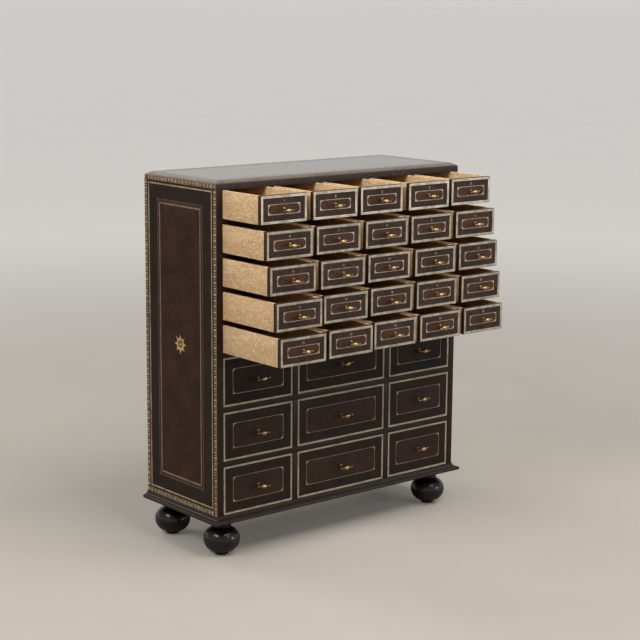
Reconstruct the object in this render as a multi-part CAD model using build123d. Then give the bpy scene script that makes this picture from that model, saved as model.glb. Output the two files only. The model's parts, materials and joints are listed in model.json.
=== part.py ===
"""A standing apothecary chest: twenty-five small drawers over nine large ones.

Millimetres, +Z up, X to the right along the front, the drawers pull out towards -Y.
The origin is on the floor, below the middle of the model's box with the small drawers
pulled out as they stand, each by its own amount; the large drawers are pushed home.
"""
import os
from math import acos, asin, cos, pi, sin

from build123d import *

# The grid of openings in the front
SMALL_COLUMNS = 5
SMALL_ROWS = 5
LARGE_COLUMNS = 3
LARGE_ROWS = 3
SMALL_OPENING_W = 163.6
SMALL_OPENING_H = 81.0
NARROW_OPENING_W = 255.5      # left and right large drawers; the middle one takes the rest
LARGE_OPENING_H = 146.0

# Boards of the case
CASE_DEPTH = 356.0
SIDE_T = 21.8
TOP_T = 25.0
BOTTOM_T = 19.0
BACK_T = 8.0
SHELF_T = 15.0
PARTITION_T = 19.0
HOUSING_DEPTH = 6.0           # how far a shelf is let into the side
HOUSING_STOP = 14.0           # the housing stops this far behind the front edge
BACK_REBATE = 10.0            # width of the side's rebate that holds the back panel
BEVEL_IN = 12.5               # the worn bevel round the top, inwards and down
BEVEL_DOWN = 8.0

# Leather glued on the sides, the top and the drawer fronts
LEATHER_T = 1.2
FACING_T = 1.0

# Base moulding, planted on three edges of the bottom board and hanging a little below it
MOULDING_H = 22.5
MOULDING_OUT = 20.0
MOULDING_NOSE_R = 5.6
MOULDING_LIP = 2.0            # the flat lip where the moulding meets the case
MOULDING_COVE = 1.6           # depth of the hollow between lip and nose

# Turned feet
FOOT_H = 114.0
FOOT_INSET_X = 53.0           # foot centre from the side board's outer face
FOOT_INSET_Y = 52.5           # foot centre from the front and from the back
BALL_R = 54.0
BALL_Z = 46.0                 # height of the widest ring
PAD_R = 20.0
PAD_H = 7.6
NECK_R = 25.0
COLLAR_R = 28.6               # the ring turned between bun and neck
COLLAR_RISE = 3.5             # from the bun up to the collar's widest, and on to the neck
SPIGOT_R = 12.5
SPIGOT_H = 14.0
SPIGOT_CLEARANCE = 0.1
FOOT_SIDES = 24               # facets round the turning
BALL_RINGS = 8                # facets up the bun

# Drawers
GAP_UNDER = 0.3
GAP_OVER = 0.7
GAP_SIDE = 0.5
GAP_BEHIND = 2.0              # a closed drawer's end to the back panel
FRONT_T = 12.0
DRAWER_SIDE_T = 8.0
DRAWER_BACK_T = 8.0
DRAWER_BOTTOM_T = 5.0
BOTTOM_LAP = 4.0              # the rebate in sides and front that carries the bottom

# Turned brass pulls: a cross bar with a long bulb, on a stem that spreads to a boss
PULL_TIP_R = 2.4
PULL_ARM_R = 2.0
BULB_MIDDLE = 0.4             # share of the bulb's length that is full
BOSS_R = 5.4
BOSS_H = 3.0
STEM_R = 2.2
PULL_SIDES = 10
SMALL_PULL = {"length": 37.0, "stand": 20.0, "bulb_r": 5.0, "bulb_l": 23.0}
LARGE_PULL = {"length": 45.0, "stand": 27.0, "bulb_r": 6.6, "bulb_l": 25.0}

# How far each small drawer stands open, from the top row down, left to right
SMALL_OPEN = (
    (175.0, 178.0, 170.0, 175.0, 165.0),
    (201.0, 194.0, 194.0, 188.0, 187.0),
    (216.0, 214.0, 206.0, 207.0, 203.0),
    (245.0, 228.0, 219.0, 216.0, 217.0),
    (263.0, 252.0, 236.0, 233.0, 231.0),
)

# Sizes that follow
INNER_W = SMALL_COLUMNS * SMALL_OPENING_W + (SMALL_COLUMNS - 1) * PARTITION_T
MIDDLE_OPENING_W = INNER_W - 2 * NARROW_OPENING_W - 2 * PARTITION_T
BOARD_W = INNER_W + 2 * SIDE_T
FLOOR_Z = FOOT_H + BOTTOM_T                       # top of the bottom board
LARGE_TOP_Z = FLOOR_Z + LARGE_ROWS * (LARGE_OPENING_H + SHELF_T) - SHELF_T
SMALL_BASE_Z = LARGE_TOP_Z + SHELF_T
CEILING_Z = SMALL_BASE_Z + SMALL_ROWS * (SMALL_OPENING_H + SHELF_T) - SHELF_T
TOP_Z = CEILING_Z + TOP_T
FOREMOST = max(
    max(max(row) for row in SMALL_OPEN) + SMALL_PULL["stand"] + SMALL_PULL["bulb_r"],
    LARGE_PULL["stand"] + LARGE_PULL["bulb_r"],
)
FRONT_Y = -(CASE_DEPTH - FOREMOST) / 2
BACK_Y = FRONT_Y + CASE_DEPTH
INNER_BACK_Y = BACK_Y - BACK_T
HALF_DEPTH_Y = (FRONT_Y + INNER_BACK_Y) / 2       # where shelves and partitions cross-halve

parts = {}


def block(x, y, z):
    """A box between two corners, each axis given as (low, high)."""
    size = [high - low for low, high in (x, y, z)]
    centre = [(low + high) / 2 for low, high in (x, y, z)]
    return Pos(*centre) * Box(*size)


def opening_x(column, width, columns_left):
    """Low and high X of an opening, counted from the left."""
    low = -INNER_W / 2 + columns_left + column * PARTITION_T
    return low, low + width


def small_x(column):
    return opening_x(column, SMALL_OPENING_W, column * SMALL_OPENING_W)


def large_x(column):
    widths = (NARROW_OPENING_W, MIDDLE_OPENING_W, NARROW_OPENING_W)
    return opening_x(column, widths[column], sum(widths[:column]))


def small_z(row):
    """Low and high Z of a small opening, row 0 at the top."""
    high = CEILING_Z - row * (SMALL_OPENING_H + SHELF_T)
    return high - SMALL_OPENING_H, high


def large_z(row):
    high = LARGE_TOP_Z - row * (LARGE_OPENING_H + SHELF_T)
    return high - LARGE_OPENING_H, high


small_shelf_z = [small_z(row)[0] - SHELF_T for row in range(SMALL_ROWS - 1)]
large_shelf_z = [large_z(row)[0] - SHELF_T for row in range(LARGE_ROWS - 1)]
small_partition_x = [small_x(column)[1] for column in range(SMALL_COLUMNS - 1)]
large_partition_x = [large_x(column)[1] for column in range(LARGE_COLUMNS - 1)]


def shelf(z, crossings):
    """A shelf with its stopped tongues, slotted from the back for each partition it crosses."""
    board = block((-INNER_W / 2, INNER_W / 2), (FRONT_Y, INNER_BACK_Y), (z, z + SHELF_T))
    reach = INNER_W / 2 + HOUSING_DEPTH
    tongue_y = (FRONT_Y + HOUSING_STOP, INNER_BACK_Y)
    board += block((-reach, reach), tongue_y, (z, z + SHELF_T))
    for x in crossings:
        board -= block((x, x + PARTITION_T), (HALF_DEPTH_Y, INNER_BACK_Y), (z, z + SHELF_T))
    return board


def partition(x, z_low, z_high, crossings):
    """An upright, slotted from the front for each shelf it crosses."""
    board = block((x, x + PARTITION_T), (FRONT_Y, INNER_BACK_Y), (z_low, z_high))
    for z in crossings:
        board -= block((x, x + PARTITION_T), (FRONT_Y, HALF_DEPTH_Y), (z, z + SHELF_T))
    return board


def case_side(side):
    """A side board with stopped housings for the shelves and a rebate for the back panel."""
    inner = side * INNER_W / 2
    outer = side * BOARD_W / 2
    span = (min(inner, outer), max(inner, outer))
    board = block(span, (FRONT_Y, BACK_Y), (FLOOR_Z, CEILING_Z))
    floor = inner + side * HOUSING_DEPTH
    housing_x = (min(inner, floor), max(inner, floor))
    for z in small_shelf_z + [LARGE_TOP_Z] + large_shelf_z:
        board -= block(housing_x, (FRONT_Y + HOUSING_STOP, INNER_BACK_Y), (z, z + SHELF_T))
    floor = inner + side * BACK_REBATE
    rebate_x = (min(inner, floor), max(inner, floor))
    return board - block(rebate_x, (INNER_BACK_Y, BACK_Y), (FLOOR_Z, CEILING_Z))


def top_board():
    """The top, with its vertical edge below and the bevel above."""
    edge_z = TOP_Z - BEVEL_DOWN
    slab = block((-BOARD_W / 2, BOARD_W / 2), (FRONT_Y, BACK_Y), (CEILING_Z, edge_z))
    middle = Location((0, (FRONT_Y + BACK_Y) / 2, edge_z))
    lower = middle * Rectangle(BOARD_W, CASE_DEPTH)
    upper = middle * Pos(0, 0, BEVEL_DOWN) * Rectangle(
        BOARD_W - 2 * BEVEL_IN, CASE_DEPTH - 2 * BEVEL_IN
    )
    return slab + loft([lower, upper])


def foot_centres():
    for name_y, y in (("front", FRONT_Y + FOOT_INSET_Y), ("back", BACK_Y - FOOT_INSET_Y)):
        for name_x, side in (("left", -1), ("right", 1)):
            yield f"{name_y}_{name_x}", side * (BOARD_W / 2 - FOOT_INSET_X), y


def bottom_board():
    """The bottom, bored from below for the feet's spigots."""
    board = block((-BOARD_W / 2, BOARD_W / 2), (FRONT_Y, BACK_Y), (FOOT_H, FLOOR_Z))
    depth = SPIGOT_H + 2 * SPIGOT_CLEARANCE
    for _, x, y in foot_centres():
        bore = Cylinder(SPIGOT_R + SPIGOT_CLEARANCE, depth)
        board -= Pos(x, y, FOOT_H + depth / 2) * bore
    return board


def turned(rings, sides):
    """A turned shape as flat facets, through (height, radius) rings along Z."""
    turns = [2 * pi * side / sides for side in range(sides)]
    loops = [[Vector(r * cos(turn), r * sin(turn), z) for turn in turns] for z, r in rings]
    outlines = [loops[0], loops[-1]]
    for low, high in zip(loops, loops[1:]):
        for side in range(sides):
            outlines.append([low[side - 1], low[side], high[side], high[side - 1]])
    faces = [Face(Wire.make_polygon(outline)) for outline in outlines]
    return Solid(Shell(faces))


def turned_foot():
    """A bun foot turned in one piece with its neck and spigot."""
    # the bun's arc has its centre level with the widest ring and starts at the pad's rim
    rise = BALL_Z - PAD_H
    arc_x = (BALL_R**2 - PAD_R**2 - rise**2) / (2 * (BALL_R - PAD_R))
    arc_r = BALL_R - arc_x
    start = -asin(rise / arc_r)
    end = acos((NECK_R - arc_x) / arc_r)
    angles = [start + (end - start) * step / BALL_RINGS for step in range(BALL_RINGS + 1)]
    bun = [(BALL_Z + arc_r * sin(angle), arc_x + arc_r * cos(angle)) for angle in angles]
    collar_z = bun[-1][0] + COLLAR_RISE
    neck = [(collar_z, COLLAR_R), (collar_z + COLLAR_RISE, NECK_R), (FOOT_H, NECK_R)]
    body = turned([(0, PAD_R)] + bun + neck, FOOT_SIDES)
    return body + turned([(FOOT_H, SPIGOT_R), (FOOT_H + SPIGOT_H, SPIGOT_R)], FOOT_SIDES)


def moulding_face():
    """The moulding's section in X and Z, outwards from X = 0: flat under, nose, cove, lip."""
    nose_x = MOULDING_OUT - MOULDING_NOSE_R
    nose_top = Vector(nose_x, 0, 2 * MOULDING_NOSE_R)
    lip = Vector(MOULDING_LIP, 0, MOULDING_H)
    slope = nose_top - lip
    hollow = (nose_top + lip) / 2 - Vector(-slope.Z, 0, slope.X).normalized() * MOULDING_COVE
    section = (
        Polyline((0, 0, MOULDING_H), (0, 0, 0), (nose_x, 0, 0))
        + ThreePointArc((nose_x, 0, 0), (MOULDING_OUT, 0, MOULDING_NOSE_R), nose_top)
        + ThreePointArc(nose_top, hollow, lip)
        + Line(lip, (0, 0, MOULDING_H))
    )
    return make_face(section)


def base_moulding():
    """Three mitred lengths: left, front and right."""
    run = CASE_DEPTH + MOULDING_OUT
    under_z = FLOOR_Z - MOULDING_H
    strip = extrude(moulding_face(), amount=run, dir=(0, 1, 0))
    right = Pos(BOARD_W / 2, FRONT_Y - MOULDING_OUT, under_z) * strip
    corner = (BOARD_W / 2, FRONT_Y, 0)
    right = split(right, Plane(corner, z_dir=(1, 1, 0)), keep=Keep.TOP)
    front_strip = extrude(moulding_face(), amount=BOARD_W + 2 * MOULDING_OUT, dir=(0, 1, 0))
    front = Pos(-BOARD_W / 2 - MOULDING_OUT, FRONT_Y, under_z) * Rot(0, 0, -90) * front_strip
    front = split(front, Plane(corner, z_dir=(1, 1, 0)), keep=Keep.BOTTOM)
    front = split(front, Plane((-corner[0], FRONT_Y, 0), z_dir=(-1, 1, 0)), keep=Keep.BOTTOM)
    return [mirror(right, Plane.YZ), front, right]


def pull(length, stand, bulb_r, bulb_l):
    """A brass pull on the plane Y = 0, its cross bar along X at Y = -stand."""
    half = length / 2
    shoulder = bulb_l / 2
    full = shoulder * BULB_MIDDLE
    rings = [
        (-half, PULL_TIP_R), (-shoulder, PULL_ARM_R), (-full, bulb_r), (full, bulb_r),
        (shoulder, PULL_ARM_R), (half, PULL_TIP_R),
    ]
    # a corner of the facets faces forward, so the bulb reaches its full radius there
    bar = Rot(0, 90, 0) * Rot(0, 0, 90) * turned(rings, PULL_SIDES)
    stem = Rot(90, 0, 0) * turned([(0, BOSS_R), (BOSS_H, STEM_R), (stand, STEM_R)], PULL_SIDES)
    return Pos(0, -stand, 0) * bar + stem


def drawer(x, z, pull_sizes):
    """One drawer pushed home in the opening (x, z): facing, front, sides, back, bottom, pull."""
    x = (x[0] + GAP_SIDE, x[1] - GAP_SIDE)
    z = (z[0] + GAP_UNDER, z[1] - GAP_OVER)
    front_y = (FRONT_Y + FACING_T, FRONT_Y + FACING_T + FRONT_T)
    box_y = (front_y[1], INNER_BACK_Y - GAP_BEHIND)
    floor_z = z[0] + DRAWER_BOTTOM_T
    bottom = block(
        (x[0] + DRAWER_SIDE_T - BOTTOM_LAP, x[1] - DRAWER_SIDE_T + BOTTOM_LAP),
        (front_y[1] - BOTTOM_LAP, box_y[1]),
        (z[0], floor_z),
    )
    inner = (x[0] + DRAWER_SIDE_T, x[1] - DRAWER_SIDE_T)
    pieces = [
        block(x, (FRONT_Y, front_y[0]), z),
        block(x, front_y, z) - bottom,
        block((x[0], inner[0]), box_y, z) - bottom,
        block((inner[1], x[1]), box_y, z) - bottom,
        block(inner, (box_y[1] - DRAWER_BACK_T, box_y[1]), (floor_z, z[1])),
        bottom,
        Pos(sum(x) / 2, FRONT_Y, sum(z) / 2) * pull(**pull_sizes),
    ]
    return pieces


parts["left_side"] = case_side(-1)
parts["right_side"] = case_side(1)
parts["top_board"] = top_board()
parts["bottom_board"] = bottom_board()
back_x = INNER_W / 2 + BACK_REBATE
parts["back_panel"] = block((-back_x, back_x), (INNER_BACK_Y, BACK_Y), (FLOOR_Z, CEILING_Z))
parts["middle_shelf"] = shelf(LARGE_TOP_Z, [])
for number, z in enumerate(small_shelf_z, 1):
    parts[f"small_shelf_{number}"] = shelf(z, small_partition_x)
for number, z in enumerate(large_shelf_z, 1):
    parts[f"large_shelf_{number}"] = shelf(z, large_partition_x)
for number, x in enumerate(small_partition_x, 1):
    parts[f"small_partition_{number}"] = partition(x, SMALL_BASE_Z, CEILING_Z, small_shelf_z)
for number, x in enumerate(large_partition_x, 1):
    parts[f"large_partition_{number}"] = partition(x, FLOOR_Z, LARGE_TOP_Z, large_shelf_z)

for name, side in (("left", -1), ("right", 1)):
    skin = sorted((side * BOARD_W / 2, side * (BOARD_W / 2 + LEATHER_T)))
    parts[f"{name}_leather"] = block(skin, (FRONT_Y, BACK_Y), (FLOOR_Z, TOP_Z - BEVEL_DOWN))
flat_x = BOARD_W / 2 - BEVEL_IN
flat_y = (FRONT_Y + BEVEL_IN, BACK_Y - BEVEL_IN)
parts["top_leather"] = block((-flat_x, flat_x), flat_y, (TOP_Z, TOP_Z + LEATHER_T))
parts["base_moulding"] = base_moulding()
foot = turned_foot()
for name, x, y in foot_centres():
    parts[f"foot_{name}"] = Pos(x, y, 0) * foot

for row in range(SMALL_ROWS):
    for column in range(SMALL_COLUMNS):
        pieces = drawer(small_x(column), small_z(row), SMALL_PULL)
        out = Pos(0, -SMALL_OPEN[row][column], 0)
        parts[f"small_drawer_{row + 1}_{column + 1}"] = [out * piece for piece in pieces]
for row in range(LARGE_ROWS):
    for column in range(LARGE_COLUMNS):
        pieces = drawer(large_x(column), large_z(row), LARGE_PULL)
        parts[f"large_drawer_{row + 1}_{column + 1}"] = pieces

os.makedirs("parts", exist_ok=True)
for name, shape in parts.items():
    if isinstance(shape, list):
        solids = [solid for piece in shape for solid in piece.solids()]
        shape = Compound(children=solids)
    export_step(shape, f"parts/{name}.step")
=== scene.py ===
"""Looks for a standing apothecary chest: tooled leather, pale drawer boxes, turned brass and bun feet.

Lengths are millimetres until a point is placed in the frame, which is in metres.
"""

import json
from math import acos, asin, cos, pi, radians, sin

import bmesh
import bpy
from mathutils import Matrix, Vector


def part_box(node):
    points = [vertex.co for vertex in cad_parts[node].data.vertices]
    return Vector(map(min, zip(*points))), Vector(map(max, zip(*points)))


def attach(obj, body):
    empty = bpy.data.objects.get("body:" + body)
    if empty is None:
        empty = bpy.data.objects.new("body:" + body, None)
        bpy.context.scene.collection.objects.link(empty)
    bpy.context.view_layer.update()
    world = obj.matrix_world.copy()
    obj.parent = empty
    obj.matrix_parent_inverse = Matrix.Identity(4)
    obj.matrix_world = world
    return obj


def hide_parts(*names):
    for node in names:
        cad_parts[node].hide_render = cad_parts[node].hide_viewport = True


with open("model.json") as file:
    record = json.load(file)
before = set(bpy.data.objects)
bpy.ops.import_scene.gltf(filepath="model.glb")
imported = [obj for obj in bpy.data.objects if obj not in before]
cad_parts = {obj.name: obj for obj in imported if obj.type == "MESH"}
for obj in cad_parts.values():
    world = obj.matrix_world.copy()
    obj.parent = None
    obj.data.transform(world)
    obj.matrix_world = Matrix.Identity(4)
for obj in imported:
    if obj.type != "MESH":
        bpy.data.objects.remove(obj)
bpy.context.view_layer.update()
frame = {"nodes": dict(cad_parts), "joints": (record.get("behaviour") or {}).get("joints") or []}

MM = 0.001
LEATHER_T = 1.2
CORNER_STEPS = 5


# Trees of nodes

class Wire:
    """A socket of a tree that can be reckoned with."""

    def __init__(self, tree, socket):
        self.tree = tree
        self.socket = socket

    def maths(self, operation, left, right):
        return self.tree.node("ShaderNodeMath", {"operation": operation}, {0: left, 1: right})

    def __add__(self, other):
        return self.maths("ADD", self, other)

    def __radd__(self, other):
        return self.maths("ADD", other, self)

    def __sub__(self, other):
        return self.maths("SUBTRACT", self, other)

    def __rsub__(self, other):
        return self.maths("SUBTRACT", other, self)

    def __mul__(self, other):
        return self.maths("MULTIPLY", self, other)

    def __rmul__(self, other):
        return self.maths("MULTIPLY", other, self)

    def __truediv__(self, other):
        return self.maths("DIVIDE", self, other)


class Tree:
    """A node tree and the one method that adds a node to it."""

    def __init__(self, nodes):
        self.nodes = nodes

    def node(self, kind, settings=None, sockets=None, out=0):
        """Adds a node. Its settings come first, then the values or wires of its sockets."""
        made = self.nodes.nodes.new(kind)
        for setting, value in (settings or {}).items():
            setattr(made, setting, value)
        for socket, value in (sockets or {}).items():
            self.feed(made.inputs[socket], value)
        return Wire(self, made.outputs[out]) if made.outputs else made

    def feed(self, socket, value):
        for one in value if isinstance(value, list) else [value]:
            if isinstance(one, Wire):
                self.nodes.links.new(one.socket, socket)
            else:
                socket.default_value = one


def tint(red, green, blue, share=1.0):
    """A colour written as a screen shows it, made linear, and darkened or lightened by a share."""
    return tuple(min(1, share * (value / 255) ** 2.2) for value in (red, green, blue)) + (1,)


class Finish(Tree):
    """A material under way, with the patterns that its surface is mixed from."""

    def __init__(self, name, **constants):
        self.material = bpy.data.materials.new(name)
        self.material.use_nodes = True
        super().__init__(self.material.node_tree)
        self.shader = self.nodes.nodes["Principled BSDF"]
        for socket, value in constants.items():
            self.shader.inputs[socket.replace("_", " ")].default_value = value

    def place(self, stretch=(1, 1, 1)):
        """The object's own coordinates, which ride with it, closer together where stretched."""
        at = self.node("ShaderNodeTexCoord", out="Object")
        return self.node("ShaderNodeMapping", None, {"Vector": at, "Scale": stretch})

    def noise(self, at, scale, detail=2.0, rough=0.5, twist=0.0):
        sockets = {"Vector": at, "Scale": scale, "Detail": detail, "Roughness": rough, "Distortion": twist}
        return self.node("ShaderNodeTexNoise", None, sockets, out="Fac")

    def ease(self, value, low, high):
        sockets = {"Value": value, "From Min": low, "From Max": high}
        return self.node("ShaderNodeMapRange", {"interpolation_type": "SMOOTHSTEP"}, sockets)

    def mix(self, share, one, other):
        return self.node("ShaderNodeMix", {"data_type": "RGBA"}, {0: share, 6: one, 7: other}, out=2)

    def rub(self):
        """How much a place is handled, as the mesh says."""
        return self.node("ShaderNodeAttribute", {"attribute_name": "rub"}, out="Fac")

    def done(self, colour, roughness, height=None, strength=0.3, relief=0.2):
        self.feed(self.shader.inputs["Base Color"], colour)
        self.feed(self.shader.inputs["Roughness"], roughness)
        if height:
            sockets = {"Strength": strength, "Distance": relief * MM, "Height": height}
            self.feed(self.shader.inputs["Normal"], self.node("ShaderNodeBump", None, sockets))
        return self.material


# Finishes

def leather(
    name, colour, rubbed, roughness=0.42, grain=1.4, gloss=1.32, clouded=(0.55, 1.5), coat=0.0, drawn=1.0
):
    """Stained leather: clouds of colour, pebbled grain, and a paler tone where it is handled.

    grain is the size of its pebbles, clouded how dark and pale its clouds go, and drawn below 1 pulls
    its mottling upright.
    """
    skin = Finish(name, IOR=gloss, Coat_Weight=coat, Coat_Roughness=0.18)
    at = skin.place()
    clouds = skin.noise(at, 13, 3)
    mottle = skin.noise(skin.place((1, 1, drawn)), 130, 4, 0.65)
    waves = skin.noise(at, 34, 2)
    pebbles = skin.node("ShaderNodeTexVoronoi", None, {"Vector": at, "Scale": 1000 / grain}, out="Distance")
    worn = skin.ease(skin.rub() + mottle * 0.8, 0.75, 1.3)
    dark, pale = clouded
    tone = skin.mix(
        skin.ease(clouds * 0.35 + mottle * 0.65, 0.38, 0.62), tint(*colour, dark), tint(*colour, pale)
    )
    pores = skin.ease(pebbles, 0.35, 0.75) * 0.35
    tone = skin.mix(pores, tone, tint(*colour, 0.3))
    tone = skin.mix(worn, tone, tint(*rubbed))
    return skin.done(
        tone, roughness + mottle * 0.22 - worn * 0.08, waves * 3.0 - pebbles * 0.5 + mottle * 0.6, 0.35, 0.3
    )


def tooling(name, colour, ground, kept=0.42, metallic=0.3):
    """Gold or bone colour laid in tooled leather, missing here and there."""
    skin = Finish(name, Metallic=metallic, IOR=1.35)
    at = skin.place()
    flecks = skin.noise(at, 420, 3, 0.65)
    patches = skin.noise(at, 45, 3, 0.6)
    lost = skin.ease(flecks * 0.5 + patches * 0.5, 1 - kept, 1.1 - kept)
    tone = skin.mix(skin.ease(patches, 0.36, 0.64), tint(*colour, 0.68), tint(*colour, 1.22))
    return skin.done(skin.mix(lost * 0.75, tone, tint(*ground)), 0.42 + lost * 0.2, flecks, 0.3, 0.15)


def wood(name, colour, rubbed, along, roughness, contrast=0.3, coat=0.0, figure=1.0):
    """Wood with its grain along one axis: broad bands, fine fibres and short rays, paler where handled."""
    grain = Finish(name, IOR=1.27, Coat_Weight=coat, Coat_Roughness=0.12, Coat_IOR=1.45)
    stretch = tuple(1.0 if axis == along else 9.0 for axis in "XYZ")
    fibre = tuple(1.0 if axis == along else 26.0 for axis in "XYZ")
    ray = tuple(4.0 if axis == along else 1.0 for axis in "XYZ")
    bands = grain.noise(grain.place(stretch), 7 * figure, 4, 0.6, 0.5)
    fibres = grain.noise(grain.place(fibre), 26 * figure, 3, 0.6)
    rays = grain.noise(grain.place(ray), 60 * figure, 2, 0.5)
    clouds = grain.noise(grain.place(), 12, 2)
    depth = bands * 0.4 + fibres * 0.25 + rays * 0.2 + clouds * 0.15
    tone = grain.mix(grain.ease(depth, 0.36, 0.64), tint(*colour, 1 - contrast), tint(*colour, 1 + contrast))
    worn = grain.ease(grain.rub() + fibres * 0.7, 0.7, 1.25)
    tone = grain.mix(worn, tone, tint(*rubbed))
    return grain.done(tone, roughness + fibres * 0.16 - 0.08, fibres + bands * 0.6, 0.3, 0.12)


def old_metal(name, colour, dulled):
    """Cast and turned metal, brown with age where no hand reaches."""
    metal = Finish(name, Metallic=1.0)
    at = metal.place()
    spots = metal.noise(at, 210, 4, 0.6)
    marks = metal.noise(at, 900, 2)
    dull = metal.ease(spots * 1.1 - metal.rub() * 0.9, -0.35, 0.45)
    tone = metal.mix(dull * 0.94, tint(*colour), tint(*dulled))
    return metal.done(tone, 0.31 + dull * 0.16, marks, 0.12, 0.05)


def box_wood(name, colour, along, flecked=1.0):
    """Plain pale wood: soft figure along the board, crossed by short darker and lighter flecks."""
    grain = Finish(name, IOR=1.4)
    long = grain.place(tuple(1.0 if axis == along else 8.0 for axis in "XYZ"))
    dashes = grain.place(tuple(1.0 if axis == along else 6.0 for axis in "XYZ"))
    rays = grain.place(tuple(2.4 if axis == along else 1.0 for axis in "XYZ"))
    figure = grain.noise(long, 7, 4, 0.6, 0.3)
    fibres = grain.noise(long, 60, 3, 0.6)
    flecks = grain.noise(dashes, 70, 2, 0.6)
    cross = grain.noise(rays, 90, 2, 0.6)
    shade = grain.ease(figure * 0.6 + fibres * 0.4, 0.35, 0.65)
    darker = grain.ease(flecks * 0.65 + cross * 0.35, 0.51, 0.63) * (0.5 * flecked)
    lighter = grain.ease(cross * 0.5 + flecks * 0.5, 0.49, 0.37) * (0.55 * flecked)
    tone = grain.mix(shade, tint(*colour, 0.86), tint(*colour, 1.1))
    tone = grain.mix(darker, tone, tint(158, 108, 62))
    tone = grain.mix(lighter, tone, tint(236, 212, 172))
    return grain.done(tone, 0.5 + flecks * 0.15, fibres + flecks * 0.8, 0.3, 0.12)


field_leather = leather("dark field leather", (36, 27, 21), (60, 48, 38), gloss=1.28, drawn=0.45)
brown_leather = leather(
    "red-brown leather", (51, 32, 24), (84, 60, 46), 0.44, gloss=1.28, clouded=(0.42, 1.66), drawn=0.45
)
band_leather = leather("brown band leather", (57, 39, 28), (84, 60, 46))
margin_leather = leather("dark margin leather", (51, 39, 31), (78, 62, 52), 0.46, gloss=1.25)
inner_leather = leather("brown front leather", (61, 41, 29), (88, 64, 50), 0.44, gloss=1.27)
low_margin = leather("darker margin leather", (38, 29, 24), (62, 50, 42), 0.46, gloss=1.25)
low_inner = leather("darker front leather", (48, 34, 25), (76, 54, 42), 0.44, gloss=1.27)
# Darker copies of the margin and inner leathers for row 1 of the large drawers: painted shade, the shadow
# that the open small drawers cast there.
margin_in_painted_shade = leather("margin leather darkened as painted shade", (32, 26, 21), (56, 46, 38), 0.48, gloss=1.22)
inner_in_painted_shade = leather("front leather darkened as painted shade", (38, 29, 22), (62, 48, 38), 0.46, gloss=1.22)
top_leather = leather(
    "top leather", (74, 63, 55), (106, 94, 83), 0.2, grain=1.1, gloss=1.66, clouded=(0.84, 1.18), coat=0.2
)
# The bevel is paler than the leathers around it partly from wear and partly as painted sheen, the light its
# slope catches.
worn_and_sheened_bevel = leather("bevel leather, worn and with painted sheen", (88, 80, 70), (112, 102, 88), 0.34, grain=1.1, gloss=1.5)
edge_leather = leather("dark edge leather", (27, 21, 18), (62, 46, 37))
roll_ground = leather("rolled ground", (44, 32, 22), (96, 78, 56), 0.46)
gold_lines = tooling("gold lines", (168, 142, 112), (66, 48, 36))
fillet_gold = tooling("fillet gold", (134, 109, 88), (66, 46, 36), 0.46)
dim_lines = tooling("dim lines", (104, 84, 68), (52, 38, 32), 0.46)
top_lines = tooling("top lines", (58, 48, 41), (42, 35, 31), 0.46, metallic=0.0)
roll_gold = tooling("rolled gold", (188, 162, 126), (90, 70, 48), 0.44)
star_gold = tooling("star gold", (194, 165, 113), (104, 76, 44), 0.44)
bone_border = tooling("bone border", (164, 153, 136), (102, 90, 73), 0.44, metallic=0.0)
# A paler copy of the bone border for row 1 of the small drawers: painted light, the extra light that row
# catches from above.
border_with_painted_top_light = tooling("bone border with painted row-one light", (194, 182, 164), (122, 108, 90), metallic=0.0)
bone_marks = tooling("bone border marks", (134, 121, 99), (84, 70, 54), 0.45, metallic=0.0)
low_border = tooling("darker bone border", (186, 173, 149), (100, 85, 68), 0.48, metallic=0.0)
low_marks = tooling("darker border marks", (122, 109, 88), (76, 62, 48), 0.45, metallic=0.0)
front_lines = tooling("small front lines", (160, 141, 120), (88, 69, 56))
large_lines = tooling("large front lines", (146, 126, 107), (64, 48, 38), 0.46)
case_wood_x = wood("dark case wood along", (29, 22, 18), (56, 43, 35), "X", 0.48)
case_wood_z = wood("dark case wood upright", (30, 23, 19), (54, 42, 34), "Z", 0.48)
front_wood = wood("dark front edges", (34, 26, 22), (70, 54, 42), "X", 0.46, figure=1.4)
moulding_wood = wood("moulding wood", (33, 24, 20), (64, 46, 37), "X", 0.44, 0.35, 0.04, 1.2)
foot_wood = wood("turned foot wood", (28, 18, 14), (50, 31, 24), "Z", 0.5, 0.4, 0.4, 1.2)
box_wood_y = box_wood("pale box wood", (196, 163, 122), "Y")
# Darker and less flecked than the sides: painted shade inside each drawer, on its back and bottom.
shaded_inner_box_wood = box_wood("box wood across, darkened as painted shade", (170, 128, 84), "X", 0.45)
back_wood = wood("plain back boards", (74, 55, 40), (108, 84, 61), "Z", 0.6, figure=0.8)
nail_iron = old_metal("dull iron", (104, 94, 84), (54, 44, 37))
pull_brass = old_metal("aged brass", (164, 135, 91), (54, 36, 22))


# Shapes

class Panel:
    """A flat place to build on: its middle, and which way is right and up. Out is square to both."""

    def __init__(self, middle, right, up):
        self.middle, self.right, self.up = Vector(middle), Vector(right), Vector(up)
        self.out = self.right.cross(self.up)

    def at(self, u, v, depth):
        return (self.middle + u * self.right + v * self.up - depth * self.out) * MM

    def matrix(self, u=0.0, v=0.0, depth=0.0):
        """Places a mesh that is in metres, its X to the right, Y up and Z outwards."""
        turned = Matrix((self.right, self.up, self.out)).transposed().to_4x4()
        return Matrix.Translation(self.at(u, v, depth)) @ turned


def started():
    """A mesh under way, with a layer that says how much each place is handled."""
    mesh = bmesh.new()
    mesh.verts.layers.float.new("rub")
    return mesh


def rounded(width, height, radius):
    """Points round a rectangle with rounded corners, anticlockwise, as many whatever its size."""
    radius = min(radius, width / 2, height / 2)
    points = []
    for corner, (right, up) in enumerate(((1, -1), (1, 1), (-1, 1), (-1, -1))):
        middle_u, middle_v = right * (width / 2 - radius), up * (height / 2 - radius)
        for step in range(CORNER_STEPS + 1):
            turn = radians(90 * (corner - 1 + step / CORNER_STEPS))
            points.append((middle_u + radius * cos(turn), middle_v + radius * sin(turn)))
    return points


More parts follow.
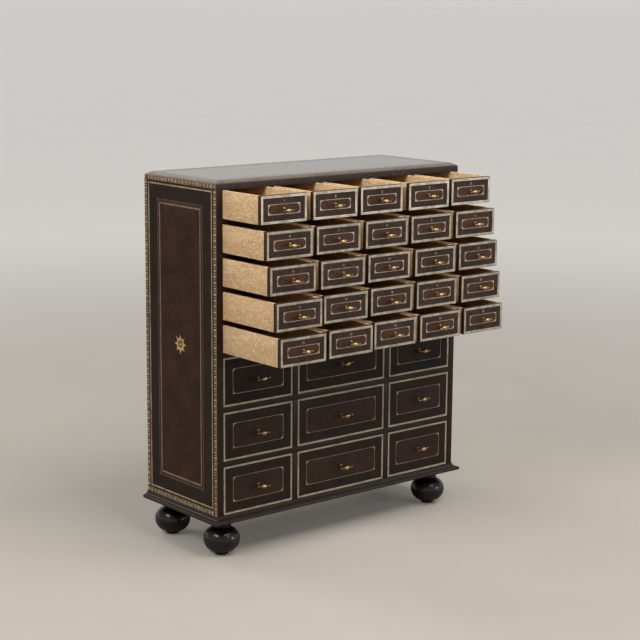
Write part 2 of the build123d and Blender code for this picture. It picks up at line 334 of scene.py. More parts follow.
def joined_rings(mesh, rings, skins):
    """Joins rings of vertices into a closed skin."""
    for outer, inner, skin in zip(rings, rings[1:], skins):
        for place in range(len(outer)):
            corners = (outer[place - 1], outer[place], inner[place], inner[place - 1])
            mesh.faces.new(corners).material_index = skin
    mesh.faces.new(rings[-1]).material_index = skins[-1]
    mesh.faces.new(rings[0][::-1]).material_index = skins[0]


def nest(mesh, panel, width, height, loops):
    """Rounded rectangles one inside the other, from the back edge round to the middle of the face.

    Each loop is its inset, corner radius, depth, the skin up to the next loop, and its rub.
    """
    rub = mesh.verts.layers.float["rub"]
    rings = []
    for inset, radius, depth, _, handled in loops:
        outline = rounded(width - 2 * inset, height - 2 * inset, radius)
        rings.append([mesh.verts.new(panel.at(u, v, depth)) for u, v in outline])
        for corner in rings[-1]:
            corner[rub] = handled
    joined_rings(mesh, rings, [loop[3] for loop in loops])


def curved(points, steps=4):
    """A smooth line through the points, ends kept."""
    line = []
    padded = [points[0]] + list(points) + [points[-1]]
    for a, b, c, d in zip(padded, padded[1:], padded[2:], padded[3:]):
        for step in range(steps):
            t = step / steps
            line.append(tuple(
                0.5 * (2 * q + (r - p) * t + (2 * p - 5 * q + 4 * r - s) * t * t
                       + (3 * q - p - 3 * r + s) * t**3)
                for p, q, r, s in zip(a, b, c, d)
            ))
    return line + [points[-1]]


def turned(mesh, profile, place, sides):
    """A turned shape from (along, radius) points. place turns along and the two across into a point."""
    rings = []
    for along, radius in profile:
        turns = [2 * pi * side / sides for side in range(sides)]
        rings.append([mesh.verts.new(place(along, radius * cos(t), radius * sin(t))) for t in turns])
    joined_rings(mesh, rings, [0] * len(rings))


def board(mesh, low, high, skin=0, arris=0.5):
    """A board between two corners, its arrises eased. Returns its corners."""
    middle = [(a + b) / 2 * MM for a, b in zip(low, high)]
    size = [(b - a) * MM for a, b in zip(low, high)]
    shape = Matrix.Translation(middle) @ Matrix.Diagonal((*size, 1))
    made = bmesh.ops.create_cube(mesh, size=1, matrix=shape)["verts"]
    edges = {edge for vert in made for edge in vert.link_edges}
    eased = bmesh.ops.bevel(
        mesh, geom=list(edges), offset=arris * MM, segments=2, profile=0.5, affect="EDGES"
    )
    for face in {face for vert in eased["verts"] for face in vert.link_faces}:
        face.material_index = skin
    return eased["verts"]


def added(mesh, plain, matrix, skin):
    """Adds a plain mesh to the one being built."""
    copy = plain.copy()
    copy.transform(matrix)
    for face in copy.polygons:
        face.material_index = skin
    mesh.from_mesh(copy)
    bpy.data.meshes.remove(copy)


def piece(name, mesh, skins, body, nodes=(), crease=32):
    """Makes a finished piece that rides on its body and stands for the nodes."""
    data = bpy.data.meshes.new(name)
    bmesh.ops.recalc_face_normals(mesh, faces=mesh.faces)
    mesh.to_mesh(data)
    mesh.free()
    data.shade_smooth()
    data.set_sharp_from_angle(angle=radians(crease))
    for skin in skins:
        data.materials.append(skin)
    made = bpy.data.objects.new(name, data)
    bpy.context.scene.collection.objects.link(made)
    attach(made, body)
    if nodes:
        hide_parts(*nodes)


def plain_mesh(source):
    """The mesh an object comes to, on its own, and the object removed."""
    bpy.context.scene.collection.objects.link(source)
    finished = source.evaluated_get(bpy.context.evaluated_depsgraph_get())
    plain = bpy.data.meshes.new_from_object(finished)
    bpy.data.objects.remove(source)
    return plain


# The tooled roll: a row of marks stamped round a rectangle

def roll_tree():
    """Geometry Nodes that stamp broad and narrow marks in turn along four sides, with corner studs."""
    group = bpy.data.node_groups.new("tooled roll", "GeometryNodeTree")
    tree = Tree(group)
    for name in ("Width", "Height", "Pitch", "Across", "Thickness", "Unevenness"):
        group.interface.new_socket(name, in_out="INPUT", socket_type="NodeSocketFloat")
    group.interface.new_socket("Seed", in_out="INPUT", socket_type="NodeSocketInt")
    group.interface.new_socket("Mark finish", in_out="INPUT", socket_type="NodeSocketMaterial")
    group.interface.new_socket("Marks", in_out="OUTPUT", socket_type="NodeSocketGeometry")
    given = group.nodes.new("NodeGroupInput").outputs
    width, height, pitch, across, thickness, uneven = (Wire(tree, given[n]) for n in range(6))
    seed, finish = Wire(tree, given["Seed"]), Wire(tree, given["Mark finish"])

    def vector(x=0.0, y=0.0, z=0.0):
        return tree.node("ShaderNodeCombineXYZ", None, {0: x, 1: y, 2: z})

    def moved(shape, shift=None, scale=None, turn=0.0):
        sockets = {"Geometry": shape, "Rotation": (0, 0, turn)}
        sockets |= {"Translation": shift} if shift else {}
        sockets |= {"Scale": scale} if scale else {}
        return tree.node("GeometryNodeTransform", None, sockets)

    def together(*shapes):
        return tree.node("GeometryNodeJoinGeometry", None, {0: list(shapes)})

    def stud(along, over, shift=None):
        sockets = {"Vertices": 8, "Radius": 0.5, "Depth": 1.0}
        shape = tree.node("GeometryNodeMeshCylinder", None, sockets)
        return moved(shape, shift, vector(along, over, thickness))

    broad = stud(pitch * 0.4, across * 0.98)
    narrow = stud(pitch * 0.18, across * 0.74, vector(pitch * 0.5))
    mark = together(broad, narrow)

    def row(length):
        free = length - across * 1.6
        count = tree.node("ShaderNodeMath", {"operation": "ROUND"}, {0: free / pitch})
        half = (free - free / count) * 0.5
        points = tree.node(
            "GeometryNodeMeshLine", {"mode": "END_POINTS"},
            {"Count": count, "Start Location": vector(half * -1.0), "Offset": vector(half)},
        )
        sockets = {2: 1 - uneven, 3: 1 + uneven, "Seed": seed}
        spread = tree.node("FunctionNodeRandomValue", {"data_type": "FLOAT"}, sockets, out=1)
        sockets = {"Points": points, "Instance": mark, "Scale": spread}
        return tree.node("GeometryNodeInstanceOnPoints", None, sockets)

    level, upright = row(width), row(height)
    corners = tree.node(
        "GeometryNodeMeshGrid", None, {"Size X": width, "Size Y": height, "Vertices X": 2, "Vertices Y": 2}
    )
    corner = stud(across * 0.8, across * 0.8)
    marks = together(
        moved(level, vector(0.0, height * 0.5)),
        moved(level, vector(0.0, height * -0.5), None, pi),
        moved(upright, vector(width * -0.5), None, pi / 2),
        moved(upright, vector(width * 0.5), None, -pi / 2),
        tree.node("GeometryNodeInstanceOnPoints", None, {"Points": corners, "Instance": corner}),
    )
    real = tree.node("GeometryNodeRealizeInstances", None, {0: marks})
    dressed = tree.node("GeometryNodeSetMaterial", None, {"Geometry": real, "Material": finish})
    tree.feed(group.nodes.new("NodeGroupOutput").inputs[0], dressed)
    return group


def nail_tree():
    """Geometry Nodes that set nail heads in even rows."""
    group = bpy.data.node_groups.new("rows of nails", "GeometryNodeTree")
    tree = Tree(group)
    for name in ("Width", "Height", "Head", "Thickness"):
        group.interface.new_socket(name, in_out="INPUT", socket_type="NodeSocketFloat")
    for name in ("Across", "Up"):
        group.interface.new_socket(name, in_out="INPUT", socket_type="NodeSocketInt")
    group.interface.new_socket("Nail finish", in_out="INPUT", socket_type="NodeSocketMaterial")
    group.interface.new_socket("Nails", in_out="OUTPUT", socket_type="NodeSocketGeometry")
    given = group.nodes.new("NodeGroupInput").outputs
    width, height, head, thickness, across, up, finish = (Wire(tree, given[n]) for n in range(7))
    sockets = {"Size X": width, "Size Y": height, "Vertices X": across, "Vertices Y": up}
    points = tree.node("GeometryNodeMeshGrid", None, sockets)
    sockets = {"Vertices": 10, "Radius": head * 0.5, "Depth": thickness}
    nail = tree.node("GeometryNodeMeshCylinder", None, sockets)
    nails = tree.node("GeometryNodeInstanceOnPoints", None, {"Points": points, "Instance": nail})
    real = tree.node("GeometryNodeRealizeInstances", None, {0: nails})
    dressed = tree.node("GeometryNodeSetMaterial", None, {"Geometry": real, "Material": finish})
    tree.feed(group.nodes.new("NodeGroupOutput").inputs[0], dressed)
    return group


roll, nails = roll_tree(), nail_tree()


def grown(group, given):
    """What a tree of Geometry Nodes makes from the values given to its inputs, as a plain mesh."""
    carrier = bpy.data.objects.new(group.name, bpy.data.meshes.new(group.name))
    growth = carrier.modifiers.new(group.name, "NODES")
    growth.node_group = group
    for socket in group.interface.items_tree:
        if socket.in_out == "INPUT":
            growth[socket.identifier] = given[socket.name]
    plain = plain_mesh(carrier)
    plain.materials.clear()
    return plain


def stamped(width, height, finish, pitch, across, seed):
    """The marks of one border, on its middle line, a pitch apart."""
    return grown(roll, {
        "Width": width * MM, "Height": height * MM, "Pitch": pitch * MM, "Across": across * MM,
        "Thickness": 0.5 * MM, "Unevenness": 0.07, "Seed": seed, "Mark finish": finish,
    })


def numeral(number, height):
    """A plain numeral as a thin mesh, standing on its middle."""
    text = bpy.data.curves.new("numeral", "FONT")
    text.body, text.size, text.extrude = str(number), height * MM * 1.4, 0.1 * MM
    text.align_x, text.align_y, text.resolution_u = "CENTER", "CENTER", 3
    return plain_mesh(bpy.data.objects.new("numeral", text))


# The case

def in_mm(node):
    """The low and high corner of a node's box."""
    low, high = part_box(node)
    return low / MM, high / MM


left_low, left_high = in_mm("left_leather")
top_low, top_high = in_mm("top_board")
case_front, case_back = left_low.y, left_high.y
case_left, case_right = left_low.x, in_mm("right_leather")[1].x


def softened(name, nodes, skin, width=0.6):
    """A copy of flat-sided nodes with their outer arrises eased."""
    mesh = started()
    for node in nodes:
        mesh.from_mesh(frame["nodes"][node].data)
    bmesh.ops.remove_doubles(mesh, verts=mesh.verts, dist=0.00001)
    bmesh.ops.dissolve_limit(mesh, angle_limit=radians(1), verts=mesh.verts, edges=mesh.edges)
    outer = [e for e in mesh.edges if e.is_manifold and e.is_convex and e.calc_face_angle(0) > radians(40)]
    bmesh.ops.bevel(
        mesh, geom=outer, offset=width * MM, segments=2, profile=0.5, affect="EDGES", clamp_overlap=True
    )
    rub = mesh.verts.layers.float["rub"]
    for vert in mesh.verts:
        vert[rub] = 0.55 if vert.co.y < (case_front + 1) * MM else 0.0
    piece(name, mesh, [skin], "case", nodes)


shelves = [f"small_shelf_{n}" for n in range(1, 5)] + ["large_shelf_1", "large_shelf_2", "middle_shelf"]
uprights = [f"small_partition_{n}" for n in range(1, 5)] + ["large_partition_1", "large_partition_2"]
for node in shelves:
    softened(f"{node}_board", [node], case_wood_x)
for node in uprights:
    softened(f"{node}_board", [node], case_wood_z)
softened("side_boards", ["left_side", "right_side"], case_wood_z)
for slot in frame["nodes"]["bottom_board"].material_slots:
    slot.material = case_wood_x


def back_boards():
    """Upright boards nailed side by side, their joints backed by a thin sheet."""
    boards, gap, sheet, nail_rows, nail_head, nail_inset = 7, 1.2, 3.6, 4, 5.0, 14.0
    low, high = in_mm("back_panel")
    pitch = (high.x - low.x) / boards
    mesh = started()
    rub = mesh.verts.layers.float["rub"]
    board(mesh, low, (high.x, low.y + sheet, high.z), 0, 0.2)
    for n in range(boards):
        left = low.x + n * pitch + gap / 2
        right = left + pitch - gap
        for vert in board(mesh, (left, low.y + sheet - 0.1, low.z), (right, high.y, high.z), 0, 0.8):
            vert[rub] = 0.22 + 0.2 * sin(n * 2.6)
    heads = grown(nails, {
        "Width": (boards - 0.5) * pitch * MM, "Height": (high.z - low.z - 2 * nail_inset) * MM,
        "Head": nail_head * MM, "Thickness": 0.6 * MM, "Across": 2 * boards, "Up": nail_rows,
        "Nail finish": nail_iron,
    })
    back = Panel(((low.x + high.x) / 2, high.y, (low.z + high.z) / 2), (-1, 0, 0), (0, 0, 1))
    added(mesh, heads, back.matrix(), 1)
    piece("back_boards", mesh, [back_wood, nail_iron], "case", ["back_panel"])


back_boards()

# A side. Skins: 0 band ground, 1 gold line, 2 dark edge, 3 dark field, 4 dim line, 5 brown, 6 band gold,
# 7 brown band, 8 fillet, 9 star
SIDE_LOOPS = [
    (0.2, 0.6, LEATHER_T, 0, 0.3), (0.0, 0.8, 0.7, 0, 0.8), (0.35, 0.8, 0.25, 6, 0.9),
    (1.3, 0.6, 0.22, 6, 0.4), (1.4, 0.6, 0.4, 0, 0.0), (11.4, 0.5, 0.4, 0, 0.0),
    (11.5, 0.5, 0.22, 6, 0.1), (12.5, 0.5, 0.22, 6, 0.1), (12.6, 0.5, 0.4, 2, 0.0),
    (19.3, 0.4, 0.4, 2, 0.0), (19.5, 0.4, 0.12, 1, 0.1), (23.6, 0.4, 0.12, 1, 0.1),
    (23.8, 0.4, 0.4, 3, 0.0), (64.8, 1.0, 0.4, 3, 0.0), (64.9, 1.0, 0.25, 4, 0.0),
    (66.4, 9.0, 0.25, 4, 0.0), (66.5, 9.0, 0.45, 7, 0.0), (74.8, 1.5, 0.45, 7, 0.0),
    (75.0, 1.0, 0.12, 8, 0.1), (79.2, 1.0, 0.12, 8, 0.1), (79.4, 1.0, 0.45, 5, 0.0),
    (84.6, 2.0, 0.25, 5, 0.1), (110.0, 4.0, 0.25, 5, 0.0),
]
SIDE_ROLL = {"pitch": 17.1, "across": 9.4, "seed": 3}
ROLL_MIDDLE = 6.4
STAR_R, STAR_WAIST, ROSETTE_R = 30.0, 19.0, 10.8


def star(mesh, panel, gold, brown):
    """An eight-pointed gilt star, its middle tooled with a rosette of petals."""
    spokes = 64
    spike = [STAR_R, 22.4, STAR_WAIST + 0.6, STAR_WAIST]
    outline = [(spike + [STAR_WAIST - 0.2] + spike[:0:-1])[n % 8] for n in range(spokes)]
    radii = (
        (outline, 0.3, gold), (outline, 0.05, gold), ([ROSETTE_R] * spokes, 0.0, brown),
        ([ROSETTE_R - 0.4] * spokes, 0.35, brown), ([3.8] * spokes, 0.35, brown),
        ([3.4] * spokes, 0.0, gold), ([1.4] * spokes, 0.0, gold),
    )
    rings = []
    for ring, depth, _ in radii:
        rings.append([
            mesh.verts.new(panel.at(r * sin(-2 * pi * n / spokes), r * cos(2 * pi * n / spokes), depth))
            for n, r in enumerate(ring)
        ])
    joined_rings(mesh, rings, [skin for _, _, skin in radii])
    for n in range(8):
        turn = 2 * pi * (n + 0.5) / 8
        for reach, wide, long, skin, depth in ((15.6, 1.2, 1.7, brown, 0.03), (7.2, 2.3, 3.1, gold, 0.3)):
            petal = panel.matrix(reach * sin(turn), reach * cos(turn), depth)
            petal @= Matrix.Rotation(-turn, 4, "Z") @ Matrix.Diagonal((wide, long, 1, 1))
            made = bmesh.ops.create_cone(
                mesh, segments=8, radius1=MM, radius2=MM, depth=0.1 * MM, cap_ends=True, matrix=petal
            )["verts"]
            for face in {face for vert in made for face in vert.link_faces}:
                face.material_index = skin


side_width, side_height = case_back - case_front, left_high.z - left_low.z
side_marks = stamped(side_width - 2 * ROLL_MIDDLE, side_height - 2 * ROLL_MIDDLE, roll_gold, **SIDE_ROLL)
side_skins = [
    roll_ground, gold_lines, edge_leather, field_leather, dim_lines, brown_leather, roll_gold, band_leather,
    fillet_gold, star_gold,
]
for name, x, right in (("left", case_left, (0, -1, 0)), ("right", case_right, (0, 1, 0))):
    panel = Panel((x, (case_front + case_back) / 2, (left_low.z + left_high.z) / 2), right, (0, 0, 1))
    mesh = started()
    nest(mesh, panel, side_width, side_height, SIDE_LOOPS)
    added(mesh, side_marks, panel.matrix(0, 0, 0.3), 6)
    star(mesh, panel, 9, 5)
    piece(f"{name}_side_panel", mesh, side_skins, "case", [f"{name}_leather"], 25)

# The top, from its underside up its edge, over the bevel and in. Depth is below the leather's face.
# Skins: 0 dark edge, 1 bevel, worn and with painted sheen, 2 top, 3 line
board_depth = top_high.z + LEATHER_T - top_low.z
TOP_LOOPS = [
    (0.3, 0.8, board_depth, 0, 0.2), (0.0, 1.0, board_depth - 0.3, 0, 0.5), (0.0, 1.5, 10.2, 0, 0.6),
    (0.1, 1.5, 9.6, 0, 0.8), (0.5, 1.5, 8.9, 0, 1.0), (1.6, 1.6, 8.15, 0, 0.9),
    (2.9, 1.6, 7.3, 1, 0.5), (11.4, 2.2, 1.9, 1, 0.6), (12.4, 2.4, 1.1, 1, 0.9),
    (13.4, 2.6, 0.45, 3, 0.9), (14.6, 2.8, 0.15, 3, 0.6), (15.8, 2.6, 0.15, 2, 0.2),
    (19.4, 2.6, 0.15, 2, 0.2), (19.5, 2.6, 0.02, 3, 0.2), (21.1, 2.6, 0.02, 3, 0.2),
    (21.2, 2.6, 0.2, 2, 0.1), (37.0, 2.0, 0.2, 2, 0.0), (37.1, 2.0, 0.02, 3, 0.1),
    (38.5, 2.0, 0.02, 3, 0.1), (38.6, 2.0, 0.2, 2, 0.0), (66.0, 4.0, 0.2, 2, 0.0),
]
top = Panel((0, (case_front + case_back) / 2, top_high.z + LEATHER_T), (1, 0, 0), (0, 1, 0))
mesh = started()
nest(mesh, top, top_high.x - top_low.x, side_width, TOP_LOOPS)
skins = [edge_leather, worn_and_sheened_bevel, top_leather, top_lines]
piece("leather_top", mesh, skins, "case", ["top_board", "top_leather"], 25)


def moulding():
    """The base moulding, mitred round three sides: a nose, a quirk and a cove."""
    nose_r, nose_x, rise = 5.6, 14.4, 22.5
    turns = [radians(turn) for turn in range(-90, 91, 15)]
    nose = [(nose_x + nose_r * cos(turn), nose_r + nose_r * sin(turn)) for turn in turns]
    cove = curved([(12.4, 11.9), (9.2, 12.9), (6.0, 15.4), (3.7, 18.8), (2.5, 21.4)], 4)
    quirk = [(13.2, 11.0), (12.9, 10.5)]
    section = [(0, 0), (9.6, 0)] + nose + quirk + cove + [(2.0, rise), (0, rise)]
    low, high = in_mm("base_moulding")
    board_x = case_right - LEATHER_T
    path = (
        ((-board_x, case_back), (-1, 0)), ((-board_x, case_front), (-1, -1)),
        ((board_x, case_front), (1, -1)), ((board_x, case_back), (1, 0)),
    )
    mesh = started()
    rub = mesh.verts.layers.float["rub"]
    rings = []
    for (x, y), (out_x, out_y) in path:
        corners = [Vector((x + o * out_x, y + o * out_y, low.z + z)) * MM for o, z in section]
        rings.append([mesh.verts.new(corner) for corner in corners])
        for corner, (o, _) in zip(rings[-1], section):
            corner[rub] = 0.55 * o / 20
    joined_rings(mesh, rings, [0] * len(rings))
    piece("base_moulding_run", mesh, [moulding_wood], "case", ["base_moulding"])


moulding()

# Feet: pad, bun, collar and neck, from the floor up
BUN_Z, BUN_R, PAD_R, PAD_H, NECK_R = 46.0, 53.9, 20.0, 7.6, 25.0
bun_rise = BUN_Z - PAD_H
bun_x = (BUN_R**2 - PAD_R**2 - bun_rise**2) / (2 * (BUN_R - PAD_R))
bun_arc = BUN_R - bun_x
start, end = -asin(bun_rise / bun_arc), acos((NECK_R - bun_x) / bun_arc)
angles = [start + (end - start) * step / 30 for step in range(31)]
foot_line = [(0, 18.6), (0.6, 19.5), (2.0, PAD_R), (6.6, PAD_R)]
foot_line += [(BUN_Z + bun_arc * sin(angle), bun_x + bun_arc * cos(angle)) for angle in angles]
foot_line = [point for point in foot_line if not 78.0 < point[0] < 83.0] + [foot_line[-1]]
neck_z = foot_line[-1][0]
foot_line += [(neck_z + rise, r) for rise, r in curved([
    (0.6, 26.2), (2.0, 28.0), (3.5, 28.6), (5.0, 28.0), (6.4, 26.0), (8.0, 24.6), (18.0, 24.4), (26.0, 24.8),
    (30.5, 25.0),
])]
for corner in ("front_left", "front_right", "back_left", "back_right"):
    low, high = in_mm(f"foot_{corner}")
    x, y = (low.x + high.x) / 2, (low.y + high.y) / 2
    mesh = started()
    turned(mesh, foot_line, lambda z, across, back: Vector((x + across, y + back, z)) * MM, 72)
    rub = mesh.verts.layers.float["rub"]
    for vert in mesh.verts:
        vert[rub] = 0.35 * max(0, 1 - abs(vert.co.z / MM - BUN_Z) / 22)
    piece(f"bun_{corner}", mesh, [foot_wood], "case", [f"foot_{corner}"])

# Drawers. Skins of a front: 0 wood, 1 bone border, 2 margin, 3 frame line, 4 inner leather, 5 marks
FRONT_T, SIDE_T, BOX_BACK_T, BOTTOM_T = 13.0, 8.0, 8.0, 5.0


def front(mesh, panel, width, height, edge, border, across, up, corner, line):
    """A front: its dark edge, the border, the margin, and a frame line whose round inside leaves spandrels.

    edge, border and line are widths. The line is inset by across at the ends and by up above and below, and
    corner is its inside radius.
    """
    within = edge + border
    loops = [
        (0.5, 0.6, FRONT_T, 0, 0.1), (0.0, 0.8, FRONT_T - 0.5, 0, 0.4), (0.0, 0.8, 1.4, 0, 0.7),
        (0.1, 0.8, 0.8, 0, 0.7), (0.25, 0.8, 0.3, 0, 0.6), (edge - 0.1, 0.8, 0.15, 0, 0.4),
        (edge, 0.7, 0.05, 1, 0.2), (within - 0.2, 0.5, 0.05, 1, 0.0), (within, 0.5, 0.28, 2, 0.0),
        (across - 0.1, 0.5, 0.28, 2, 0.0), (across, 0.5, 0.14, 3, 0.0),
        (across + line, corner, 0.14, 3, 0.0), (across + line + 0.1, corner, 0.3, 4, 0.1),
        (across + line + 2.6, corner - 2, 0.2, 4, 0.2), (across + line + 6.0, corner - 4, 0.2, 4, 0.1),
    ]
    rub = mesh.verts.layers.float["rub"]
    rings = []
    for inset, radius, depth, _, handled in loops:
        squeeze = 2 * (up - across) if inset > within else 0
        outline = rounded(width - 2 * inset, height - 2 * inset - squeeze, max(radius, 0.3))
        rings.append([mesh.verts.new(panel.at(u, v, depth)) for u, v in outline])
        for vert in rings[-1]:
            vert[rub] = handled
    joined_rings(mesh, rings, [loop[3] for loop in loops])


SMALL_FRONT = {"edge": 1.1, "border": 6.7, "across": 24.8, "up": 25.4, "corner": 12.0, "line": 1.3}
LARGE_FRONT = {"edge": 0.8, "border": 5.2, "across": 34.4, "up": 34.8, "corner": 13.0, "line": 1.2}
FRONT_ROLL = {"pitch": 7.0, "across": 3.6, "seed": 11}
NUMERAL_H, NUMERAL_DROP = 6.5, 17.6
SMALL_PULL = {"half": 17.8, "stand": 19.3, "bulb": 5.6, "full": 11.5}
LARGE_PULL = {"half": 22.5, "stand": 27.0, "bulb": 6.5, "full": 12.5}

# How far each bar hangs below its boss, row by row
SMALL_HANG = (
    (3.5, 3.5, 3.5, 2.0, 1.5),
    (2.0, 6.0, 5.0, 3.5, 2.5),
    (4.0, 5.5, 1.5, 4.5, 5.5),
    (3.5, 0.5, 6.0, 1.5, 1.0),
    (0.5, 4.0, 4.5, 3.5, 1.5),
)
LARGE_HANG = ((-0.5, -2.0, 0.5), (0.5, -1.0, -4.5), (0.5, 1.0, -3.5))


def pull(mesh, panel, half, stand, bulb, full, hang, twist):
    """A boss and stem carrying a turned cross bar with a long bulb and knobbed ends.

    half is half the bar's length, stand how far it stands out, bulb its thickest radius and full the bulb's
    half length.
    """
    stem = curved([
        (-0.2, 5.2), (0.8, 5.4), (1.8, 5.0), (2.5, 3.8), (3.2, 2.6), (4.2, 2.7), (5.0, 2.2),
        (stand * 0.45, 1.8), (stand * 0.75, 1.9), (stand - bulb, 2.4), (stand, 2.4),
    ], 3)
    turned(mesh, stem, lambda out, u, v: panel.at(u, v - hang * out / stand, -out), 20)
    rub = mesh.verts.layers.float["rub"]
    for vert in mesh.verts:
        vert[rub] = 0.5
    end = half - full
    arm = [
        (0.0, bulb), (full * 0.28, bulb * 0.97), (full * 0.52, bulb * 0.82), (full * 0.75, bulb * 0.58),
        (full * 0.92, 2.3), (full, 1.8), (full + end * 0.12, 2.2), (full + end * 0.24, 1.6),
        (full + end * 0.45, 1.4), (full + end * 0.58, 1.7), (full + end * 0.72, 2.45),
        (full + end * 0.86, 2.35), (full + end * 0.96, 1.4), (half, 0.4),
    ]
    line = curved([(-along, r) for along, r in arm[:0:-1]] + arm, 3)

    def bar(along, v, out):
        right, up = along * cos(twist) - v * sin(twist), along * sin(twist) + v * cos(twist)
        return panel.at(right, up - hang, -stand - out)

    before = len(mesh.verts)
    turned(mesh, line, bar, 20)
    mesh.verts.ensure_lookup_table()
    middle = bar(0, 0, 0)
    for vert in mesh.verts[before:]:
        reach = (vert.co - middle).length / MM
        vert[rub] = 0.5 if full * 0.8 < reach < full + end * 0.55 else 0.92


def box(mesh, low, high):
    """Two sides, a back and a bottom behind the front; the back and bottom take the wood darkened as painted
    shade.
    """
    x0, y0, z0 = low
    x1, y1, z1 = high
    board(mesh, (x0, y0, z0), (x0 + SIDE_T, y1, z1))
    board(mesh, (x1 - SIDE_T, y0, z0), (x1, y1, z1))
    board(mesh, (x0 + SIDE_T, y1 - BOX_BACK_T, z0 + BOTTOM_T), (x1 - SIDE_T, y1, z1), 1)
    board(mesh, (x0 + SIDE_T / 2, y0, z0 + 0.1), (x1 - SIDE_T / 2, y1 - 0.1, z0 + BOTTOM_T), 1, 0.2)


out_of_case = {joint["child"]: -joint["range_m"][0] / MM for joint in frame["joints"]}
borders = {}
for node in sorted(name for name in frame["nodes"] if "drawer" in name):
    small = node.startswith("small")
    row, column = int(node[-3]), int(node[-1])
    low, high = in_mm(node)
    y = case_front - out_of_case[node]
    width, height = high.x - low.x, high.z - low.z
    panel = Panel(((low.x + high.x) / 2, y, (low.z + high.z) / 2), (1, 0, 0), (0, 0, 1))
    sizes = SMALL_FRONT if small else LARGE_FRONT
    if (small, round(width)) not in borders:
        marks = bone_marks if small else low_marks
        inset = 2 * sizes["edge"] + sizes["border"]
        borders[small, round(width)] = stamped(width - inset, height - inset, marks, **FRONT_ROLL)
    mesh = started()
    front(mesh, panel, width, height, **sizes)
    if small:
        number = numeral((row - 1) * 5 + column, NUMERAL_H)
        added(mesh, number, panel.matrix(0, height / 2 - NUMERAL_DROP, 0.25), 1)
        # Row 1's border, and its numerals, are painted paler as painted light from above.
        bone = border_with_painted_top_light if row == 1 else bone_border
        skins = [front_wood, bone, margin_leather, front_lines, inner_leather, bone_marks]
    else:
        # Row 1 of the large drawers takes the leathers darkened as painted shade.
        margin, inner = (margin_in_painted_shade, inner_in_painted_shade) if row == 1 else (low_margin, low_inner)
        skins = [front_wood, low_border, margin, large_lines, inner, low_marks]
    added(mesh, borders[small, round(width)], panel.matrix(0, 0, 0.22), 5)
    piece(f"{node}_front", mesh, skins, node, [node], 25)
    mesh = started()
    box(mesh, (low.x, y + FRONT_T, low.z), (high.x, high.y, high.z))
    piece(f"{node}_box", mesh, [box_wood_y, shaded_inner_box_wood], node, [node])
    mesh = started()
    hang = (SMALL_HANG if small else LARGE_HANG)[row - 1][column - 1]
    twist = radians(5 * sin(row * 5.2 + column * 1.7))
    pull(mesh, panel, **(SMALL_PULL if small else LARGE_PULL), hang=hang, twist=twist)
    piece(f"{node}_pull", mesh, [pull_brass], node, [node])

# The studio: a floor that pales with distance to meet the backdrop, and still takes the shadow
floor_finish = Finish("studio floor", IOR=1.3)
at = floor_finish.place()
clouds = floor_finish.noise(at, 1.4, 4, 0.6)
away = floor_finish.node("ShaderNodeVectorMath", {"operation": "LENGTH"}, {0: at}, out="Value")
far = floor_finish.ease(away, 0.8, 7.0)
seen = floor_finish.node("ShaderNodeLightPath", out="Is Camera Ray")
lift = floor_finish.mix(far, (0.075, 0.071, 0.066, 1), (0.52, 0.51, 0.494, 1))
floor_finish.feed(floor_finish.shader.inputs["Emission Color"], floor_finish.mix(seen, (0, 0, 0, 1), lift))
floor_finish.shader.inputs["Emission Strength"].default_value = 1.0
floor_skin = floor_finish.done(
    floor_finish.mix(clouds, tint(148, 141, 131), tint(162, 155, 145)), 0.7 + clouds * 0.1
)
FLOOR_HALF_M = 300
floor_mesh = bmesh.new()
bmesh.ops.create_grid(floor_mesh, x_segments=1, y_segments=1, size=FLOOR_HALF_M)
floor_data = bpy.data.meshes.new("studio_floor")
floor_mesh.to_mesh(floor_data)
floor_mesh.free()
floor_data.materials.append(floor_skin)
floor = bpy.data.objects.new("studio_floor", floor_data)
bpy.context.scene.collection.objects.link(floor)

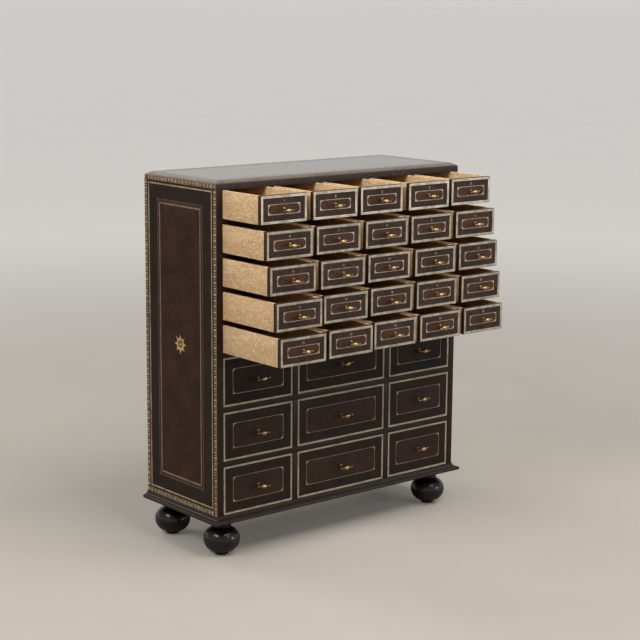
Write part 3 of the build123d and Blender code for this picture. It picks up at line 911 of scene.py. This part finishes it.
# A plain surround, paler near the horizon where polished surfaces mirror it
world = bpy.data.worlds.new("studio")
world.use_nodes = True
bpy.context.scene.world = world
sky = Tree(world.node_tree)
backdrop = world.node_tree.nodes["Background"]
seen = sky.node("ShaderNodeLightPath", out="Is Camera Ray")
mirrored = sky.node("ShaderNodeLightPath", out="Is Glossy Ray")
toward = sky.node("ShaderNodeTexCoord", out="Generated")
height = sky.node("ShaderNodeSeparateXYZ", None, {0: toward}, out="Z")
level = sky.node(
    "ShaderNodeMapRange", {"interpolation_type": "SMOOTHSTEP"},
    {"Value": height, "From Min": 0.12, "From Max": 0.45, "To Min": 1.0, "To Max": 0.15},
)
backdrop.inputs["Color"].default_value = (0.9, 0.89, 0.87, 1)
sky.feed(backdrop.inputs["Strength"], 0.18 + 0.51 * seen + level * mirrored)


CHEST_MIDDLE = Vector((0, 0, 0.5))


def softbox(name, toward, away, size, power):
    """A lamp of a width and height, seen from the chest's middle along a direction, and facing it."""
    light = bpy.data.lights.new(name, "AREA")
    light.shape, light.energy = "RECTANGLE", power
    light.size, light.size_y = size
    made = bpy.data.objects.new(name, light)
    made.location = CHEST_MIDDLE + Vector(toward).normalized() * away
    made.rotation_euler = Vector(toward).to_track_quat("Z", "Y").to_euler()
    bpy.context.scene.collection.objects.link(made)


softbox("left softbox", (-0.85, -0.12, 0.68), 3.8, (1.6, 1.0), 80)
softbox("front softbox", (0.06, -0.85, 0.5), 3.8, (0.7, 0.45), 9)
softbox("overhead softbox", (0.1, -0.58, 1.0), 4.2, (2.6, 2.0), 165)
softbox("front right softbox", (0.55, -0.8, 0.12), 3.8, (0.85, 0.6), 26)
softbox("back softbox", (-0.35, 0.9, 0.8), 4.2, (2.0, 1.4), 56)
softbox("right softbox", (0.95, -0.15, 0.75), 4.2, (2.0, 1.4), 30)

# The camera stands where the photograph was taken
STAND = Vector((-3.2032, -3.7725, 1.6043))
YAW, PITCH, ROLL = radians(39.833), radians(10.871), radians(0.438)
FOCAL_PX, IMAGE_PX, SENSOR_MM = 1665.1, 640, 36
ahead = Vector((sin(YAW) * cos(PITCH), cos(YAW) * cos(PITCH), -sin(PITCH)))
sideways = Vector((cos(YAW), -sin(YAW), 0))
above = sideways.cross(ahead)
right = cos(ROLL) * sideways + sin(ROLL) * above
up = cos(ROLL) * above - sin(ROLL) * sideways
lens = bpy.data.cameras.new("camera")
lens.sensor_width = SENSOR_MM
lens.lens = SENSOR_MM * FOCAL_PX / IMAGE_PX
lens.shift_x = -1 / IMAGE_PX
camera = bpy.data.objects.new("camera", lens)
camera.matrix_world = Matrix.Translation(STAND) @ Matrix((right, up, -ahead)).transposed().to_4x4()
bpy.context.scene.collection.objects.link(camera)
bpy.context.scene.camera = camera
bpy.context.scene.view_settings.view_transform = "Standard"
